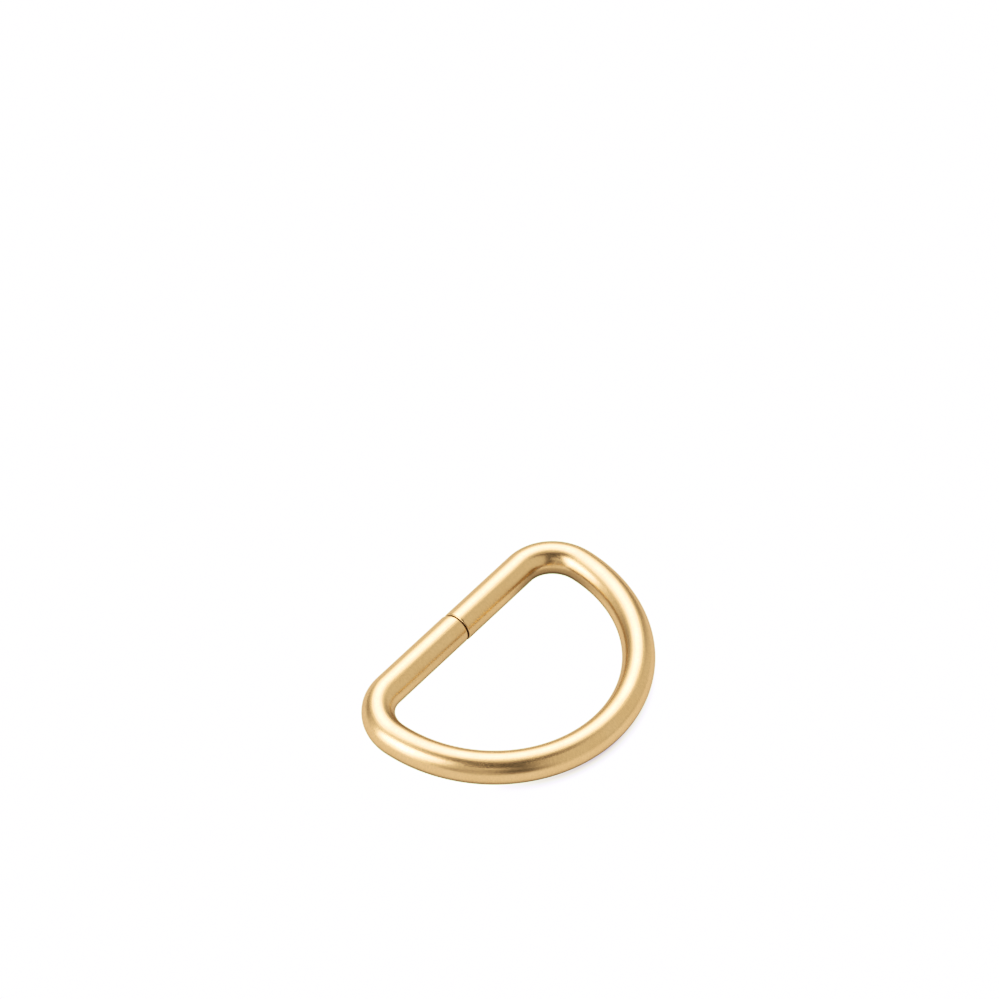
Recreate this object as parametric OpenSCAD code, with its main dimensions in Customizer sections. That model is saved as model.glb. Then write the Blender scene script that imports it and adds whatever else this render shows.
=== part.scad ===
// A D ring bent from one length of round wire: a half-round bow, a tight corner
// at each end of it, and a straight bar whose two cut ends butt in the middle.
// It lies flat, with +X along the bar, +Y from the bar to the bow and Z upwards.

/* [Wire] */
// Diameter of the round wire
wire_d = 4; // [2:0.1:8]

/* [D outline] */
// Clear width inside the ring, which is the width of the strap on its bar
inner_w = 32; // [20:0.5:60]
// Inside radius of the corners between the bow and the bar
corner_in_r = 3.3; // [1.5:0.1:6]

/* [Split in the bar] */
// Gap between the two cut ends of the wire
split_gap = 0.12; // [0.05:0.01:0.6]
// How far the split lies from the middle of the bar, towards -X
split_shift = 0.2; // [-3:0.1:3]
// How far the +X cut end stands out past the -X one, away from the bow
end_step = 0.06; // [0:0.01:0.4]
// Radius of the rounded rim of each cut end
rim_r = 0.2; // [0.05:0.05:0.8]

/* [Hidden] */
$fn = 96;

wire_r = wire_d / 2;

// Centreline radii of the bow and of each corner; the wider corner at +X is what
// carries its half of the bar further out
bow_r = inner_w / 2 + wire_r;
left_corner_r = corner_in_r + wire_r;
right_corner_r = left_corner_r + end_step;

// Distance of each cut end from the middle of the bar, towards its own corner
left_end_x = split_gap / 2 + split_shift;
right_end_x = split_gap / 2 - split_shift;

// The origin is under the middle of the ring's box; the bow's centre lies behind it
ring_high_y = bow_r + wire_r;
ring_low_y = -right_corner_r - wire_r;
bow_y = -(ring_high_y + ring_low_y) / 2;

// Section of the wire, set off from the axis that a bend turns about
module wire_section(bend_r) {
    translate([bend_r, 0])
        circle(d = wire_d);
}

// Half of a bar half's long section, out to the rounded rim of its cut end
module bar_section(length) {
    square([wire_r, length - rim_r]);
    square([wire_r - rim_r, length]);
    translate([wire_r - rim_r, length - rim_r])
        circle(r = rim_r);
}

// The half-round bow
module bow() {
    rotate_extrude(angle = 180)
        wire_section(bow_r);
}

// What follows the bow at its +X end: a corner, then half of the straight bar
module limb(corner_r, end_x) {
    corner_x = bow_r - corner_r;
    translate([corner_x, 0, 0])
        rotate([0, 0, -90])
            rotate_extrude(angle = 90)
                wire_section(corner_r);
    translate([corner_x, -corner_r, 0])
        rotate([0, -90, 0])
            rotate_extrude()
                bar_section(corner_x - end_x);
}

// The whole ring, resting on the plane Z = 0
module d_ring() {
    color([0.84, 0.69, 0.43])
        translate([0, bow_y, wire_r]) {
            bow();
            limb(right_corner_r, right_end_x);
            mirror([1, 0, 0])
                limb(left_corner_r, left_end_x);
        }
}

d_ring();
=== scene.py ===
# %% [markdown]
# # A D ring of satin gold wire
#
# A D ring is a small piece of strap hardware. A strap is sewn round its straight bar, and
# a hook or a cord pulls on its round bow. This one is bent from a single length of round
# wire whose two cut ends meet in the middle of the bar, and it is plated in a soft, satin
# gold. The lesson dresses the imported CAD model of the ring: it models the wire again in
# fine quads, gives it a gold that glows but doesn't mirror sharply, and lights it as in a
# small photographer's tent.
#
# The first cell loads the CAD model as a frame. Everything after it is in metres, in the
# same place and at the same size, so nothing has to be fitted by eye.

# %% Load the frame
import math

import bmesh
import bpy
from mathutils import Matrix, Vector


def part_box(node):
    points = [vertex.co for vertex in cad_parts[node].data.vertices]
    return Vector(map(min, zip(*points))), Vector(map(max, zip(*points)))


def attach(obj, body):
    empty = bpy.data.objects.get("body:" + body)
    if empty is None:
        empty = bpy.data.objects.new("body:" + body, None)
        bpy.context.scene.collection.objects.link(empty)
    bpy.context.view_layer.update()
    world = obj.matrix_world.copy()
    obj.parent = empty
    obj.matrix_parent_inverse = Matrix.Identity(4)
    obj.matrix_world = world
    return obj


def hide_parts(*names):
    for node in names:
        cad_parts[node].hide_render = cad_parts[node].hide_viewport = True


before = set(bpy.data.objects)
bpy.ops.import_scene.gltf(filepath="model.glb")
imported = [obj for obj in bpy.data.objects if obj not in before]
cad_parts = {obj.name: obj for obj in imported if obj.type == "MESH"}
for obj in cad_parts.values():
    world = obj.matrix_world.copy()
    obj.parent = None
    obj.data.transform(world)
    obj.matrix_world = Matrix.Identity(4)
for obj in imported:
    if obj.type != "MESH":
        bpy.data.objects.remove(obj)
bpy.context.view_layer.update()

MM = 0.001

# %% [markdown]
# ## The numbers behind the shape
#
# The ring needs only a few sizes. Three of them are read off the box of the CAD ring: how
# high it is gives the thickness of the wire, how wide it is gives the radius of the bow, and
# its straight side says where the bar is. The corners and the split have sizes of their own,
# which are repeated here from the CAD source.

# %% Sizes of the wire and its bends
box_low, box_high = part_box("d_ring")
WIRE_R = box_high.z / 2
BOW_R = box_high.x - WIRE_R
CORNER_IN_R = 3.3 * MM
END_STEP = 0.06 * MM
LEFT_CORNER_R = CORNER_IN_R + WIRE_R
RIGHT_CORNER_R = LEFT_CORNER_R + END_STEP
BOW_Y = box_low.y + WIRE_R + RIGHT_CORNER_R
RIGHT_CORNER_X = BOW_R - RIGHT_CORNER_R
LEFT_CORNER_X = LEFT_CORNER_R - BOW_R

SPLIT_GAP = 0.12 * MM
SPLIT_X = -0.2 * MM
RIGHT_END_X = SPLIT_X + SPLIT_GAP / 2
LEFT_END_X = SPLIT_X - SPLIT_GAP / 2
RIM_R = 0.2 * MM
print("wire radius", round(WIRE_R / MM, 3), "bow radius", round(BOW_R / MM, 3), "mm")
print("corner radii", round(LEFT_CORNER_R / MM, 3), round(RIGHT_CORNER_R / MM, 3), "mm")

# %% [markdown]
# ## Bending the wire
#
# On the real ring a machine pulls straight wire round two posts and a form. The same order
# works in Blender: one circle, the section of the wire, is carried along the bar, round a
# corner, over the bow, round the other corner and back along the bar. The spin operator does
# all of it, because with no angle and a step it also carries a section straight on. A curve
# with a round bevel would be quicker, but its cut ends couldn't be rounded, and its quads
# wouldn't be even round the tight corners.
#
# Each run begins or ends at the split with one longer quad, which leaves room for the rim,
# and a few short ones, which let the worn end bend softly.

# %% Carry a circle along the wire's line
WIRE_SIDES = 128
QUAD_LENGTH = 0.25 * MM
RIM_ROOM = 0.25 * MM
END_LENGTH = 0.6 * MM
END_STEPS = 6


def carry_straight(mesh, section, length, steps):
    """Carries the open section along X in even steps and returns the section at the end."""
    step = (length / steps, 0, 0)
    return bmesh.ops.spin(mesh, geom=section, axis=(0, 0, 1), dvec=step, angle=0, steps=steps,
                          use_merge=False)["geom_last"]


def carry_round(mesh, section, centre_x, bend_r, degrees):
    """Bends the wire about an upright line through (centre_x, BOW_Y)."""
    steps = round(math.radians(abs(degrees)) * bend_r / QUAD_LENGTH)
    return bmesh.ops.spin(mesh, geom=section, cent=(centre_x, BOW_Y, WIRE_R), axis=(0, 0, 1),
                          angle=math.radians(degrees), steps=steps,
                          use_merge=False)["geom_last"]


def bend_wire(mesh):
    """Makes the whole open tube, from the left cut end round to the right one."""
    start = Matrix.Translation((LEFT_END_X, BOW_Y - LEFT_CORNER_R, WIRE_R))
    facing_x = Matrix.Rotation(math.radians(90), 4, "Y")
    bmesh.ops.create_circle(mesh, cap_ends=False, radius=WIRE_R, segments=WIRE_SIDES,
                            matrix=start @ facing_x)
    section = list(mesh.verts) + list(mesh.edges)
    end_run = RIM_ROOM + END_LENGTH
    left_run = LEFT_END_X - LEFT_CORNER_X - end_run
    right_run = RIGHT_CORNER_X - RIGHT_END_X - end_run
    section = carry_straight(mesh, section, -RIM_ROOM, 1)
    section = carry_straight(mesh, section, -END_LENGTH, END_STEPS)
    section = carry_straight(mesh, section, -left_run, round(left_run / QUAD_LENGTH))
    section = carry_round(mesh, section, LEFT_CORNER_X, LEFT_CORNER_R, -90)
    section = carry_round(mesh, section, 0, BOW_R, -180)
    section = carry_round(mesh, section, RIGHT_CORNER_X, RIGHT_CORNER_R, -90)
    section = carry_straight(mesh, section, -right_run, round(right_run / QUAD_LENGTH))
    section = carry_straight(mesh, section, -END_LENGTH, END_STEPS)
    carry_straight(mesh, section, -RIM_ROOM, 1)


wire_mesh = bmesh.new()
bend_wire(wire_mesh)
print("open tube:", len(wire_mesh.verts), "points,", len(wire_mesh.faces), "quads")

# %% [markdown]
# ## Closing the cut ends
#
# The wire was sheared and then tumbled, so each cut face is flat with a softly rounded rim.
# The rim matters more than its size says: it catches the light as the two fine pale lines
# that frame the dark split. The open ends are filled, and a bevel rounds their rims.

# %% Fill the ends and round their rims
RIM_SEGMENTS = 8
CAP_INSET = 0.5 * MM


def cap_faces(mesh):
    return [face for face in mesh.faces if len(face.verts) > 4]


open_edges = [edge for edge in wire_mesh.edges if edge.is_boundary]
bmesh.ops.holes_fill(wire_mesh, edges=open_edges, sides=0)
rim_edges = list({edge for face in cap_faces(wire_mesh) for edge in face.edges})
bmesh.ops.bevel(wire_mesh, geom=rim_edges, offset=RIM_R, offset_type="OFFSET",
                segments=RIM_SEGMENTS, profile=0.5, affect="EDGES", material=-1)
bmesh.ops.inset_individual(wire_mesh, faces=cap_faces(wire_mesh), thickness=CAP_INSET,
                           use_even_offset=True)
bmesh.ops.recalc_face_normals(wire_mesh, faces=wire_mesh.faces)
print("closed ring:", len(wire_mesh.faces), "faces,",
      sum(edge.is_boundary for edge in wire_mesh.edges), "open edges")

# %% [markdown]
# ## A grid that follows the wire
#
# The satin grain lies along and across the wire, so its pattern has to bend with it. Each
# point of the mesh is told where it is on the wire: how far along, and how far out and up
# from the middle of the wire. These three numbers are kept as an attribute, which a material
# reads as a straight piece of wire, with no seam anywhere but at the real split. A second
# attribute says where the bare cut faces are: they lie deeper than the skin of the wire.

# %% Measure where each point lies on the wire
LEFT_BAR = LEFT_END_X - LEFT_CORNER_X
LEFT_BEND = LEFT_CORNER_R * math.pi / 2
BOW_LENGTH = BOW_R * math.pi
RIGHT_BEND = RIGHT_CORNER_R * math.pi / 2
BEFORE_RIGHT_BAR = LEFT_BAR + LEFT_BEND + BOW_LENGTH + RIGHT_BEND
WIRE_LENGTH = BEFORE_RIGHT_BAR + RIGHT_CORNER_X - RIGHT_END_X
BARE_FROM = 0.06 * MM
BARE_TO = 0.17 * MM


def place_on_wire(point):
    """How far along the wire, how far outwards and how far up from its middle a point lies."""
    x, y = point.x, point.y - BOW_Y
    up = point.z - WIRE_R
    if y >= 0:
        turned = math.pi - math.atan2(y, x)
        return Vector((LEFT_BAR + LEFT_BEND + turned * BOW_R, math.hypot(x, y) - BOW_R, up))
    if x < LEFT_CORNER_X:
        turned = math.atan2(x - LEFT_CORNER_X, y) + math.pi
        out = math.hypot(x - LEFT_CORNER_X, y) - LEFT_CORNER_R
        return Vector((LEFT_BAR + turned * LEFT_CORNER_R, out, up))
    if x > RIGHT_CORNER_X:
        turned = math.atan2(-y, x - RIGHT_CORNER_X)
        out = math.hypot(x - RIGHT_CORNER_X, y) - RIGHT_CORNER_R
        return Vector((LEFT_BAR + LEFT_BEND + BOW_LENGTH + turned * RIGHT_CORNER_R, out, up))
    if x < SPLIT_X:
        return Vector((LEFT_END_X - x, -y - LEFT_CORNER_R, up))
    return Vector((BEFORE_RIGHT_BAR + RIGHT_CORNER_X - x, -y - RIGHT_CORNER_R, up))


def soft_step(value, start, end):
    """Rises from 0 to 1 between two values, gently at both ends."""
    share = min(1, max(0, (value - start) / (end - start)))
    return share * share * (3 - 2 * share)


along_wire = wire_mesh.verts.layers.float_vector.new("along_wire")
# Where the cut faces are; the material makes them rougher and paints them near black, as shade in the
# split.
cut_face_split_shade = wire_mesh.verts.layers.float.new("cut_face_split_shade")
for vertex in wire_mesh.verts:
    place = place_on_wire(vertex.co)
    vertex[along_wire] = place
    vertex[cut_face_split_shade] = soft_step(WIRE_R - math.hypot(place.y, place.z), BARE_FROM, BARE_TO)
print("wire length in mm:", round(WIRE_LENGTH / MM, 2))

# %% [markdown]
# ## Wear at the split
#
# No shear cuts quite square. On this ring the split is a hairline over the top and opens a
# little towards both sides of the bar, and the end on the right is rolled in at its outer
# edge. A small nick marks the other rim. The points near the split are moved by hundredths
# of a millimetre, as a sculpting brush would do it, always into the metal.

# %% Roll the cut edges over
LEAN = math.radians(25)
ROLL_REACH = 0.6 * MM
OPENS_INSIDE = 0.2 * MM
OPENS_OUTSIDE = 0.05 * MM
ROLLED_IN = 0.12 * MM
INSIDE_CURVE = 1.5
OUTSIDE_CURVE = 2
NICK_ANGLE = math.radians(112)
NICK_REACH = 0.16 * MM
NICK_DEPTH = 0.05 * MM
nick_spot = Vector((LEFT_END_X - RIM_R / 2,
                    BOW_Y - LEFT_CORNER_R - WIRE_R * math.cos(NICK_ANGLE),
                    WIRE_R + WIRE_R * math.sin(NICK_ANGLE)))


def wear_split(mesh):
    """Moves the points near the split: the left end opens inside and the right one rolls in."""
    for point in mesh.verts:
        along, out, up = point[along_wire]
        on_left = along < WIRE_LENGTH / 2
        from_cut = along if on_left else WIRE_LENGTH - along
        near = 1 - soft_step(from_cut, 0, ROLL_REACH)
        if near == 0:
            continue
        side = (out * math.cos(LEAN) + up * math.sin(LEAN)) / WIRE_R
        outer, inner = max(0, side), max(0, -side)
        middle = Vector((point.co.x, point.co.y + out, WIRE_R))
        inwards = (middle - point.co) / WIRE_R
        if on_left:
            point.co.x -= OPENS_INSIDE * inner ** INSIDE_CURVE * near
            dent = 1 - soft_step((point.co - nick_spot).length, 0, NICK_REACH)
            point.co += inwards * NICK_DEPTH * dent
        else:
            point.co.x += OPENS_OUTSIDE * outer ** OUTSIDE_CURVE * near
            point.co += inwards * ROLLED_IN * outer ** OUTSIDE_CURVE * near ** 2


wear_split(wire_mesh)
ring_data = bpy.data.meshes.new("gold_d_ring")
wire_mesh.to_mesh(ring_data)
wire_mesh.free()
for face in ring_data.polygons:
    face.use_smooth = True
print("the mesh keeps:", [item.name for item in ring_data.attributes if item.domain == "POINT"])

# %% [markdown]
# ## Small helpers for nodes
#
# Materials are built from the same few kinds of node, so each kind gets a helper that makes
# it, sets it, and gives back the socket that the next node reads. A value that is already a
# socket is linked, and any other value is typed into the node.

# %% Node helpers
def new_node(tree, kind, **settings):
    """Adds a node of that kind and sets what it is told to."""
    node = tree.nodes.new(kind)
    for name, value in settings.items():
        setattr(node, name, value)
    return node


def feed(tree, socket, value):
    """Links a socket's value into another socket, or types a plain value into it."""
    if isinstance(value, bpy.types.NodeSocket):
        tree.links.new(value, socket)
    else:
        socket.default_value = value


def calculate(tree, operation, first, second=0.0):
    """One step of arithmetic on numbers."""
    node = new_node(tree, "ShaderNodeMath", operation=operation)
    feed(tree, node.inputs[0], first)
    feed(tree, node.inputs[1], second)
    return node.outputs["Value"]


def spread(tree, value, from_low, from_high, to_low, to_high):
    """Stretches a value from one range to another, and holds it at the new range's ends."""
    node = new_node(tree, "ShaderNodeMapRange")
    feed(tree, node.inputs["Value"], value)
    feed(tree, node.inputs["From Min"], from_low)
    feed(tree, node.inputs["From Max"], from_high)
    feed(tree, node.inputs["To Min"], to_low)
    feed(tree, node.inputs["To Max"], to_high)
    return node.outputs["Result"]


def blend(tree, share, first, second, kind="RGBA"):
    """Mixes two colours, or with kind FLOAT two numbers."""
    node = new_node(tree, "ShaderNodeMix", data_type=kind)
    factor = [socket for socket in node.inputs if socket.name == "Factor" and socket.enabled][0]
    ends = [socket for socket in node.inputs if socket.name in ("A", "B") and socket.enabled]
    feed(tree, factor, share)
    feed(tree, ends[0], first)
    feed(tree, ends[1], second)
    return [socket for socket in node.outputs if socket.enabled][0]


def brighten(tree, colour, share):
    """Multiplies a colour by a number."""
    node = new_node(tree, "ShaderNodeVectorMath", operation="SCALE")
    feed(tree, node.inputs[0], colour[:3] if isinstance(colour, tuple) else colour)
    feed(tree, node.inputs["Scale"], share)
    return node.outputs["Vector"]


def distance(tree, place, middle):
    """How far each place lies from a point."""
    node = new_node(tree, "ShaderNodeVectorMath", operation="DISTANCE")
    feed(tree, node.inputs[0], place)
    feed(tree, node.inputs[1], middle)
    return node.outputs["Value"]


def noise(tree, coordinates, stretch, grain_size, detail=2.0):
    """A noise of about that grain size, stretched as told: along the wire, outwards, up."""
    mapping = new_node(tree, "ShaderNodeMapping")
    mapping.inputs["Scale"].default_value = [1 / (grain_size * value) for value in stretch]
    tree.links.new(coordinates, mapping.inputs["Vector"])
    texture = new_node(tree, "ShaderNodeTexNoise")
    texture.inputs["Scale"].default_value = 1
    texture.inputs["Detail"].default_value = detail
    tree.links.new(mapping.outputs["Vector"], texture.inputs["Vector"])
    return texture.outputs["Fac"]


print("node helpers are ready")

# %% [markdown]
# ## Satin gold
#
# The finish is a gold plating over metal that was tumbled a little rough, so it mirrors the
# room as soft bands of light. Gold colours what it mirrors, and where the gold is seen in a
# reflection, as between the bar and the bow, its colour is painted darker and deep amber: a
# painted shade on the ring's reflections of itself. At a grazing angle this plating looks
# browner, as thin plating does. The rest is small. Frost, a fine speckle of paler and duller
# points, fills the quiet bands. A low grain roughens their edges, lines from the drawing die
# run along the wire, and faint ripples cross it where the tools gripped it. The roughness and
# the colour drift slowly from place to place, as clouds do. Each of these is a noise on the
# grid along the wire, stretched in its own way. The relief is a few thousandths of a
# millimetre high, which is enough, because a mirror shows every slope twice over.

# %% The gold and its marks
PALE_GOLD = (0.72, 0.54, 0.283, 1)
DEEP_GOLD = (0.705, 0.515, 0.26, 1)
GRAZED_GOLD = (0.72, 0.65, 0.63, 1)
# The gold seen in a reflection is multiplied by this: painted shade on the ring's reflections of
# itself.
REFLECTION_SHADE = (0.64, 0.55, 0.29)
# The cut faces: unplated metal, painted near black as shade in the narrow split.
BARE_METAL_SPLIT_SHADE = (0.09, 0.045, 0.015, 1)
SMOOTHEST = 0.235
ROUGHEST = 0.28
BARE_ROUGHNESS = 0.55
RELIEF = 0.008 * MM
EVENLY = (1, 1, 1)
CLOUD_SIZE = 2.5 * MM
CLOUD_RANGE = (0.3, 0.7)
FROST_SIZE = 0.15 * MM
FROST_STRETCH = 2.5
FROST_SHARE = 0.16
GRAIN_SIZE = 0.17 * MM
GRAIN_HEIGHT = 0.25
LINE_SIZE = 0.22 * MM
LINE_STRETCH = 30
LINE_HEIGHT = 0.5
RIPPLE_SIZE = 0.21 * MM
RIPPLE_STRETCH = 8
RIPPLE_LOW = 0.1
RIPPLE_HIGH = 0.25


def up_and_down(tree, value, height):
    """Turns a noise from 0 to 1 into a height above and below zero."""
    return spread(tree, value, 0, 1, -height, height)


def marks_on_wire(tree, wire, clouds):
    """The relief of the skin, as a share of RELIEF."""
    grain = noise(tree, wire, EVENLY, GRAIN_SIZE, detail=3)
    lines = noise(tree, wire, (LINE_STRETCH, 1, 1), LINE_SIZE)
    ripples = noise(tree, wire, (1, RIPPLE_STRETCH, RIPPLE_STRETCH), RIPPLE_SIZE, detail=1)
    gripped = blend(tree, clouds, RIPPLE_LOW, RIPPLE_HIGH, "FLOAT")
    height = calculate(tree, "MULTIPLY", up_and_down(tree, ripples, 1), gripped)
    height = calculate(tree, "ADD", height, up_and_down(tree, grain, GRAIN_HEIGHT))
    return calculate(tree, "ADD", height, up_and_down(tree, lines, LINE_HEIGHT))


def gold_colour(tree, wire, clouds):
    """Gold that drifts with the clouds, with frost, and painted shade where gold mirrors gold."""
    colour = blend(tree, clouds, PALE_GOLD, DEEP_GOLD)
    frost = noise(tree, wire, (1, FROST_STRETCH, FROST_STRETCH), FROST_SIZE, detail=1)
    colour = brighten(tree, colour, spread(tree, frost, 0, 1, 1 - FROST_SHARE, 1 + FROST_SHARE))
    # Painted shade: where the gold is seen in a reflection, it is darker and more amber.
    deeper = new_node(tree, "ShaderNodeVectorMath", operation="MULTIPLY")
    feed(tree, deeper.inputs[0], colour)
    feed(tree, deeper.inputs[1], REFLECTION_SHADE)
    mirrored = new_node(tree, "ShaderNodeLightPath").outputs["Is Glossy Ray"]
    return blend(tree, mirrored, colour, deeper.outputs["Vector"])


def make_satin_gold():
    """The whole finish; the unplated cut faces are rougher and painted near black as split shade."""
    material = bpy.data.materials.new("satin_gold_wire")
    material.use_nodes = True
    tree = material.node_tree
    shader = tree.nodes["Principled BSDF"]
    shader.inputs["Metallic"].default_value = 1
    shader.inputs["Specular Tint"].default_value = GRAZED_GOLD
    wire = new_node(tree, "ShaderNodeAttribute", attribute_name="along_wire").outputs["Vector"]
    cut_face_shade = new_node(tree, "ShaderNodeAttribute", attribute_name="cut_face_split_shade").outputs["Fac"]
    clouds = noise(tree, wire, EVENLY, CLOUD_SIZE, detail=3)
    clouds = spread(tree, clouds, *CLOUD_RANGE, 0, 1)
    colour = gold_colour(tree, wire, clouds)
    # The cut faces get the near-black colour, painted shade in the narrow split.
    feed(tree, shader.inputs["Base Color"], blend(tree, cut_face_shade, colour, BARE_METAL_SPLIT_SHADE))
    satin = blend(tree, clouds, SMOOTHEST, ROUGHEST, "FLOAT")
    feed(tree, shader.inputs["Roughness"], blend(tree, cut_face_shade, satin, BARE_ROUGHNESS, "FLOAT"))
    bump = new_node(tree, "ShaderNodeBump")
    bump.inputs["Distance"].default_value = RELIEF
    feed(tree, bump.inputs["Height"], marks_on_wire(tree, wire, clouds))
    feed(tree, shader.inputs["Normal"], bump.outputs["Normal"])
    return material


ring_data.materials.append(make_satin_gold())
ring = bpy.data.objects.new("gold_d_ring", ring_data)
bpy.context.scene.collection.objects.link(ring)
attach(ring, "root")
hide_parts("d_ring")
print("ring:", len(ring_data.polygons), "faces,", len(ring_data.materials), "material")

# %% [markdown]
# ## The floor
#
# The photograph was taken on white card, so bright that it leaves only a narrow shadow at the
# foot of the bow's front. The metal mirrors the same card much darker than the camera sees
# it, as when a photographer lights the card from behind and exposes for the metal. The
# floor's material does the same with Light Path. For the camera it glows white, with the
# narrow shadow. For the metal it is partly a glow of the card's own and partly plain white
# card, which the ring can shade.
#
# What the metal mirrors of the card isn't even either. Close to the wire the card gets
# little light, which the Ambient Occlusion node finds. It is a little darker inside the D,
# where the ring stands round it, and far away, where the lamps no longer reach, and darkest
# on both sides of the far corner, which both lamps leave in shade. These are round soft
# shades, given by their middle and their two radii in millimetres.

# %% A pale card under the ring
FLOOR_SIDE = 6.0
GLOW_SEEN = (3.1, 3.5, 1.9, 1)
SHADOW_SEEN = (0.62, 0.33, 0.83, 1)
SHADOW_FROM = 1.3 * MM
SHADOW_TO = 2.8 * MM
SHADOW_SOFTNESS = 2.5
FRONT_FROM = 6 * MM
FRONT_TO = 14.5 * MM
BLACK = (0, 0, 0, 1)
GLOW_MIRRORED = (1.15, 0.81, 0.66, 1)
CARD_MIRRORED = (0.24, 0.24, 0.25, 1)
CONTACT_DEPTH = 1.6
CONTACT_REACH = 1.5 * MM
SHADES = [
    dict(name="in_the_d", x=0, y=1.5, full_to=8, none_from=12.5, share=0.8),
    dict(name="in_the_far_corner", x=-14.8, y=-8.4, full_to=2.5, none_from=5.5, share=0.42),
    dict(name="behind_the_far_corner", x=-26, y=-17.5, full_to=5, none_from=10, share=0.4),
]
LAMPS_REACH = 25 * MM
LAMPS_END = 80 * MM
FAR_SHARE = 0.84


def shadow_in_front(tree, place):
    """The shadow that the camera sees at the foot of the bow: 1 where it is darkest."""
    from_middle = distance(tree, place, Vector((0, BOW_Y, 0)))
    from_wire = calculate(tree, "ABSOLUTE", calculate(tree, "SUBTRACT", from_middle, BOW_R))
    close = spread(tree, from_wire, SHADOW_FROM, SHADOW_TO, 1, 0)
    apart = new_node(tree, "ShaderNodeSeparateXYZ")
    feed(tree, apart.inputs["Vector"], place)
    in_front = spread(tree, apart.outputs["Y"], FRONT_FROM, FRONT_TO, 0, 1)
    return calculate(tree, "MULTIPLY", in_front, calculate(tree, "POWER", close, SHADOW_SOFTNESS))


def light_on_card(tree, place):
    """The share of its light that the card sends to the metal from each place."""
    contact = new_node(tree, "ShaderNodeAmbientOcclusion", samples=8)
    contact.inputs["Distance"].default_value = CONTACT_REACH
    light = calculate(tree, "POWER", contact.outputs["AO"], CONTACT_DEPTH)
    far_off = distance(tree, place, Vector())
    lamps = spread(tree, far_off, LAMPS_REACH, LAMPS_END, 1, FAR_SHARE)
    light = calculate(tree, "MULTIPLY", light, lamps)
    for shade in SHADES:
        from_middle = distance(tree, place, Vector((shade["x"], shade["y"], 0)) * MM)
        darker = spread(tree, from_middle, shade["full_to"] * MM, shade["none_from"] * MM,
                        shade["share"], 1)
        light = calculate(tree, "MULTIPLY", light, darker)
    return light


def make_white_card():
    """White for the camera, and a dimmer, shaded card for what the metal mirrors."""
    material = bpy.data.materials.new("white_card")
    material.use_nodes = True
    tree = material.node_tree
    tree.nodes.remove(tree.nodes["Principled BSDF"])
    seen = new_node(tree, "ShaderNodeLightPath").outputs["Is Camera Ray"]
    place = new_node(tree, "ShaderNodeTexCoord").outputs["Object"]
    light = light_on_card(tree, place)
    card = new_node(tree, "ShaderNodeBsdfDiffuse")
    card_mirrored = brighten(tree, CARD_MIRRORED, light)
    feed(tree, card.inputs["Color"], blend(tree, seen, card_mirrored, BLACK))
    glow = new_node(tree, "ShaderNodeEmission")
    glow_seen = blend(tree, shadow_in_front(tree, place), GLOW_SEEN, SHADOW_SEEN)
    glow_mirrored = brighten(tree, GLOW_MIRRORED, light)
    feed(tree, glow.inputs["Color"], blend(tree, seen, glow_mirrored, glow_seen))
    both = new_node(tree, "ShaderNodeAddShader")
    feed(tree, both.inputs[0], card.outputs["BSDF"])
    feed(tree, both.inputs[1], glow.outputs["Emission"])
    feed(tree, tree.nodes["Material Output"].inputs["Surface"], both.outputs["Shader"])
    return material


def make_floor():
    """One big flat face under the ring."""
    mesh = bmesh.new()
    bmesh.ops.create_grid(mesh, x_segments=1, y_segments=1, size=FLOOR_SIDE / 2)
    data = bpy.data.meshes.new("card_floor")
    mesh.to_mesh(data)
    mesh.free()
    data.materials.append(make_white_card())
    floor = bpy.data.objects.new("card_floor", data)
    bpy.context.scene.collection.objects.link(floor)


make_floor()
print("floor:", FLOOR_SIDE, "m wide, with", len(SHADES), "round shades")

# %% [markdown]
# ## The light
#
# Metal shows nothing but its surroundings, so the light is the picture. The ring lay in a
# small tent of pale cloth with two lamps outside it. Each lamp makes a hot spot on the cloth
# with a weaker glow round it, and these are the two streaks that run along the wire. The
# dark bands between them are the opening that the camera looks through, the plainer dark
# ones are the tent's corners, and the cloth is a little dimmer at its hem behind the bow.
# Lamps and cards could be built for this, but a card would stand in the way of views from
# other sides. So they are painted straight onto the world, as soft oval patches, one over
# the other. Each has a place in the sky and half a width and height, all in degrees, a soft
# edge as a share of its size, and a level of light, where plain cloth is 1.
#
# The bands on the metal tell where each patch lies, and a fit to them gave the first places.
# The numbers were then set beside those, nearly all in steps of five degrees, and
# judged in renders against the photograph. Finer steps aren't worth their digits: half a step
# turns a band round this wire by little more than one degree, a third of a pixel here.

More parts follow.
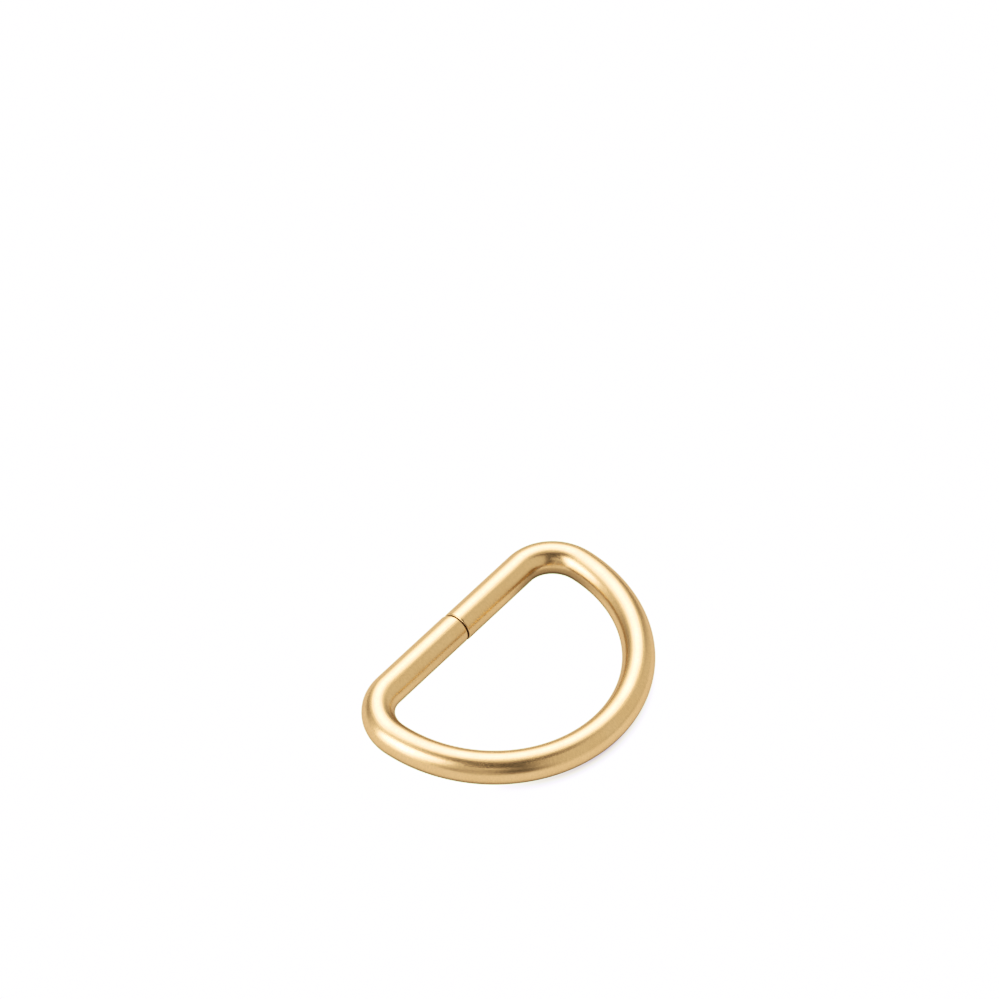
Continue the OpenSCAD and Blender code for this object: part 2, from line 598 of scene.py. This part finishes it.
# %% The lamps and the gaps of the tent
CLOTH_LEVEL = 1.0
CLOTH_TINT = (1.333, 0.961, 0.770)
SKY_SEEN = (3.1, 3.5, 1.9, 1)
PATCHES = [
    dict(name="side_glow", azimuth=-130, height=45, wide=40, tall=30, tilt=-15, edge=0.2, level=3.5),
    dict(name="near_glow", azimuth=0, height=25, wide=45, tall=30, tilt=25, edge=0.1, level=4.5),
    dict(name="side_lamp", azimuth=-120, height=50, wide=30, tall=20, tilt=30, edge=0.5, level=7.5),
    dict(name="near_lamp", azimuth=-10, height=35, wide=20, tall=30, tilt=-80, edge=0.1, level=9),
    dict(name="top_gap", azimuth=45, height=65, wide=12, tall=40, tilt=-45, edge=0.1, level=0),
    dict(name="camera_gap", azimuth=50, height=65, wide=12, tall=35, tilt=25, edge=0.1, level=0),
    dict(name="camera_side", azimuth=55, height=20, wide=25, tall=15, tilt=-55, edge=0.6, level=0),
    dict(name="far_corner", azimuth=-170, height=15, wide=10, tall=45, tilt=15, edge=1.2, level=0.2),
    dict(name="front_corner", azimuth=-90, height=5, wide=20, tall=40, tilt=-5, edge=0.8, level=0.35),
    dict(name="right_corner", azimuth=20, height=15, wide=20, tall=30, tilt=-20, edge=0.6, level=0.4),
    dict(name="back_hem", azimuth=125, height=0, wide=30, tall=10, tilt=0, edge=0.6, level=0.75),
]


def direction(azimuth, height):
    """The direction that many degrees round from +X towards +Y, and up from the floor."""
    turn, rise = math.radians(azimuth), math.radians(height)
    return Vector((math.cos(rise) * math.cos(turn), math.cos(rise) * math.sin(turn), math.sin(rise)))


def make_patch_group():
    """A soft oval patch of sky: 1 in its middle, and 0 outside its soft edge."""
    group = bpy.data.node_groups.new("soft_patch", "ShaderNodeTree")
    for name in ("Direction", "Middle", "Across", "Up"):
        group.interface.new_socket(name, in_out="INPUT", socket_type="NodeSocketVector")
    for name in ("Half Width", "Half Height", "Edge"):
        group.interface.new_socket(name, in_out="INPUT", socket_type="NodeSocketFloat")
    group.interface.new_socket("Mask", in_out="OUTPUT", socket_type="NodeSocketFloat")
    given = new_node(group, "NodeGroupInput")
    result = new_node(group, "NodeGroupOutput")

    def dot(name):
        node = new_node(group, "ShaderNodeVectorMath", operation="DOT_PRODUCT")
        group.links.new(given.outputs["Direction"], node.inputs[0])
        group.links.new(given.outputs[name], node.inputs[1])
        return node.outputs["Value"]

    sideways = calculate(group, "ARCTAN2", dot("Across"), dot("Middle"))
    upwards = calculate(group, "ARCSINE", dot("Up"))
    across = calculate(group, "DIVIDE", sideways, given.outputs["Half Width"])
    along = calculate(group, "DIVIDE", upwards, given.outputs["Half Height"])
    both = calculate(group, "ADD", calculate(group, "MULTIPLY", across, across),
                     calculate(group, "MULTIPLY", along, along))
    fade = new_node(group, "ShaderNodeMapRange", interpolation_type="SMOOTHSTEP")
    feed(group, fade.inputs["Value"], calculate(group, "SQRT", both))
    feed(group, fade.inputs["From Min"], calculate(group, "ADD", given.outputs["Edge"], 1))
    feed(group, fade.inputs["From Max"], calculate(group, "SUBTRACT", 1, given.outputs["Edge"]))
    feed(group, result.inputs["Mask"], fade.outputs["Result"])
    return group


def make_world():
    """Paints the patches over the cloth in their order, with a plain white sky for the camera."""
    world = bpy.data.worlds.new("light_tent")
    world.use_nodes = True
    tree = world.node_tree
    where = new_node(tree, "ShaderNodeTexCoord").outputs["Generated"]
    group = make_patch_group()
    level = CLOTH_LEVEL
    for patch in PATCHES:
        spot = new_node(tree, "ShaderNodeGroup", node_tree=group)
        middle = direction(patch["azimuth"], patch["height"])
        flat = Vector((-middle.y, middle.x, 0)).normalized()
        turn = Matrix.Rotation(math.radians(patch["tilt"]), 3, middle)
        feed(tree, spot.inputs["Direction"], where)
        feed(tree, spot.inputs["Middle"], middle)
        feed(tree, spot.inputs["Across"], turn @ flat)
        feed(tree, spot.inputs["Up"], turn @ middle.cross(flat))
        feed(tree, spot.inputs["Half Width"], math.radians(patch["wide"]))
        feed(tree, spot.inputs["Half Height"], math.radians(patch["tall"]))
        feed(tree, spot.inputs["Edge"], patch["edge"])
        level = blend(tree, spot.outputs["Mask"], level, patch["level"], "FLOAT")
    cloth = brighten(tree, CLOTH_TINT, level)
    seen = new_node(tree, "ShaderNodeLightPath").outputs["Is Camera Ray"]
    light = blend(tree, seen, cloth, SKY_SEEN)
    feed(tree, tree.nodes["Background"].inputs["Color"], light)
    bpy.context.scene.world = world


make_world()
print("patches of light and dark:", len(PATCHES))

# %% [markdown]
# ## The camera's way with light
#
# A camera doesn't record light evenly: bright parts crowd together towards white, each
# colour by itself, which turns bright gold to cream. The curve 1 - exp(-x) does just that,
# and it is set as a tone curve in the scene's colour management. Each colour then gets a few
# small bends of its own, which make the shadows a little browner and the highlights a little
# rosier, as the photograph's are. The last bend of each lifts what is brighter than the
# brightest gold to white at once. So the card needn't be lit more strongly to look white, and
# it doesn't flood the edge of the wire where the two share a pixel.

# %% Tone curve
WHITE_LIGHT = 3.7
MIDDLE_GREY = 0.18
CURVE_POINTS = 24
RED_BENDS = [(0, 0), (0.93, 0.93), (0.95, 1), (1, 1)]
GREEN_BENDS = [(0, 0), (0.4, 0.42), (0.6, 0.6), (0.85, 0.81), (0.96, 0.94), (0.968, 1), (1, 1)]
BLUE_BENDS = [(0, 0), (0.1, 0.095), (0.2, 0.2), (0.5, 0.52), (0.79, 0.83), (0.82, 1), (1, 1)]


def tone(light):
    """What the film keeps of a light, from 0 to 1."""
    return 1 - math.exp(-light)


def bend(value, bends):
    """Moves a value from 0 to 1 along straight lines from bend to bend."""
    for (low_in, low_out), (high_in, high_out) in zip(bends, bends[1:]):
        if value <= high_in:
            return low_out + (high_out - low_out) * (value - low_in) / (high_in - low_in)
    return value


def set_tone_curve():
    """Sets the curve of each colour, with more points where it is steep, in the shadows."""
    view = bpy.context.scene.view_settings
    view.view_transform = "Standard"
    view.use_curve_mapping = True
    mapping = view.curve_mapping
    mapping.white_level = (WHITE_LIGHT,) * 3
    for channel, bends in enumerate((RED_BENDS, GREEN_BENDS, BLUE_BENDS)):
        for step in range(1, CURVE_POINTS):
            share = (step / CURVE_POINTS) ** 2
            mapping.curves[channel].points.new(share, bend(tone(share * WHITE_LIGHT), bends))
    mapping.update()


set_tone_curve()
print("middle grey, of", MIDDLE_GREY, "light, becomes", round(tone(MIDDLE_GREY), 3))

# %% [markdown]
# ## The camera
#
# The ring lies low and right of the middle of the picture and is seen through a long lens,
# so it keeps its shape. The camera is given as a photographer would: the point that it is
# aimed at, how far away, how high and how far round it stands, and how far it leans.

# %% Aim the camera
AIM = Vector((-19.99, -20.62, 2.0)) * MM
CAMERA_AWAY = 587.34 * MM
CAMERA_AZIMUTH = 35.662
CAMERA_HEIGHT = 47.941
CAMERA_LEAN = 3.709
LENS = 170.96
SENSOR = 36.0
NEAREST_SEEN = 10 * MM


def make_camera():
    data = bpy.data.cameras.new("camera")
    data.lens = LENS
    data.sensor_width = SENSOR
    data.clip_start = NEAREST_SEEN
    camera = bpy.data.objects.new("camera", data)
    back = direction(CAMERA_AZIMUTH, CAMERA_HEIGHT)
    level = Vector((-back.y, back.x, 0)).normalized()
    upright = back.cross(level)
    turn = Matrix((level, upright, back)).transposed()
    lean = Matrix.Rotation(math.radians(CAMERA_LEAN), 3, "Z")
    camera.matrix_world = Matrix.Translation(AIM + back * CAMERA_AWAY) @ (turn @ lean).to_4x4()
    bpy.context.scene.collection.objects.link(camera)
    bpy.context.scene.camera = camera


make_camera()
print("camera", round(CAMERA_AWAY / MM), "mm away")
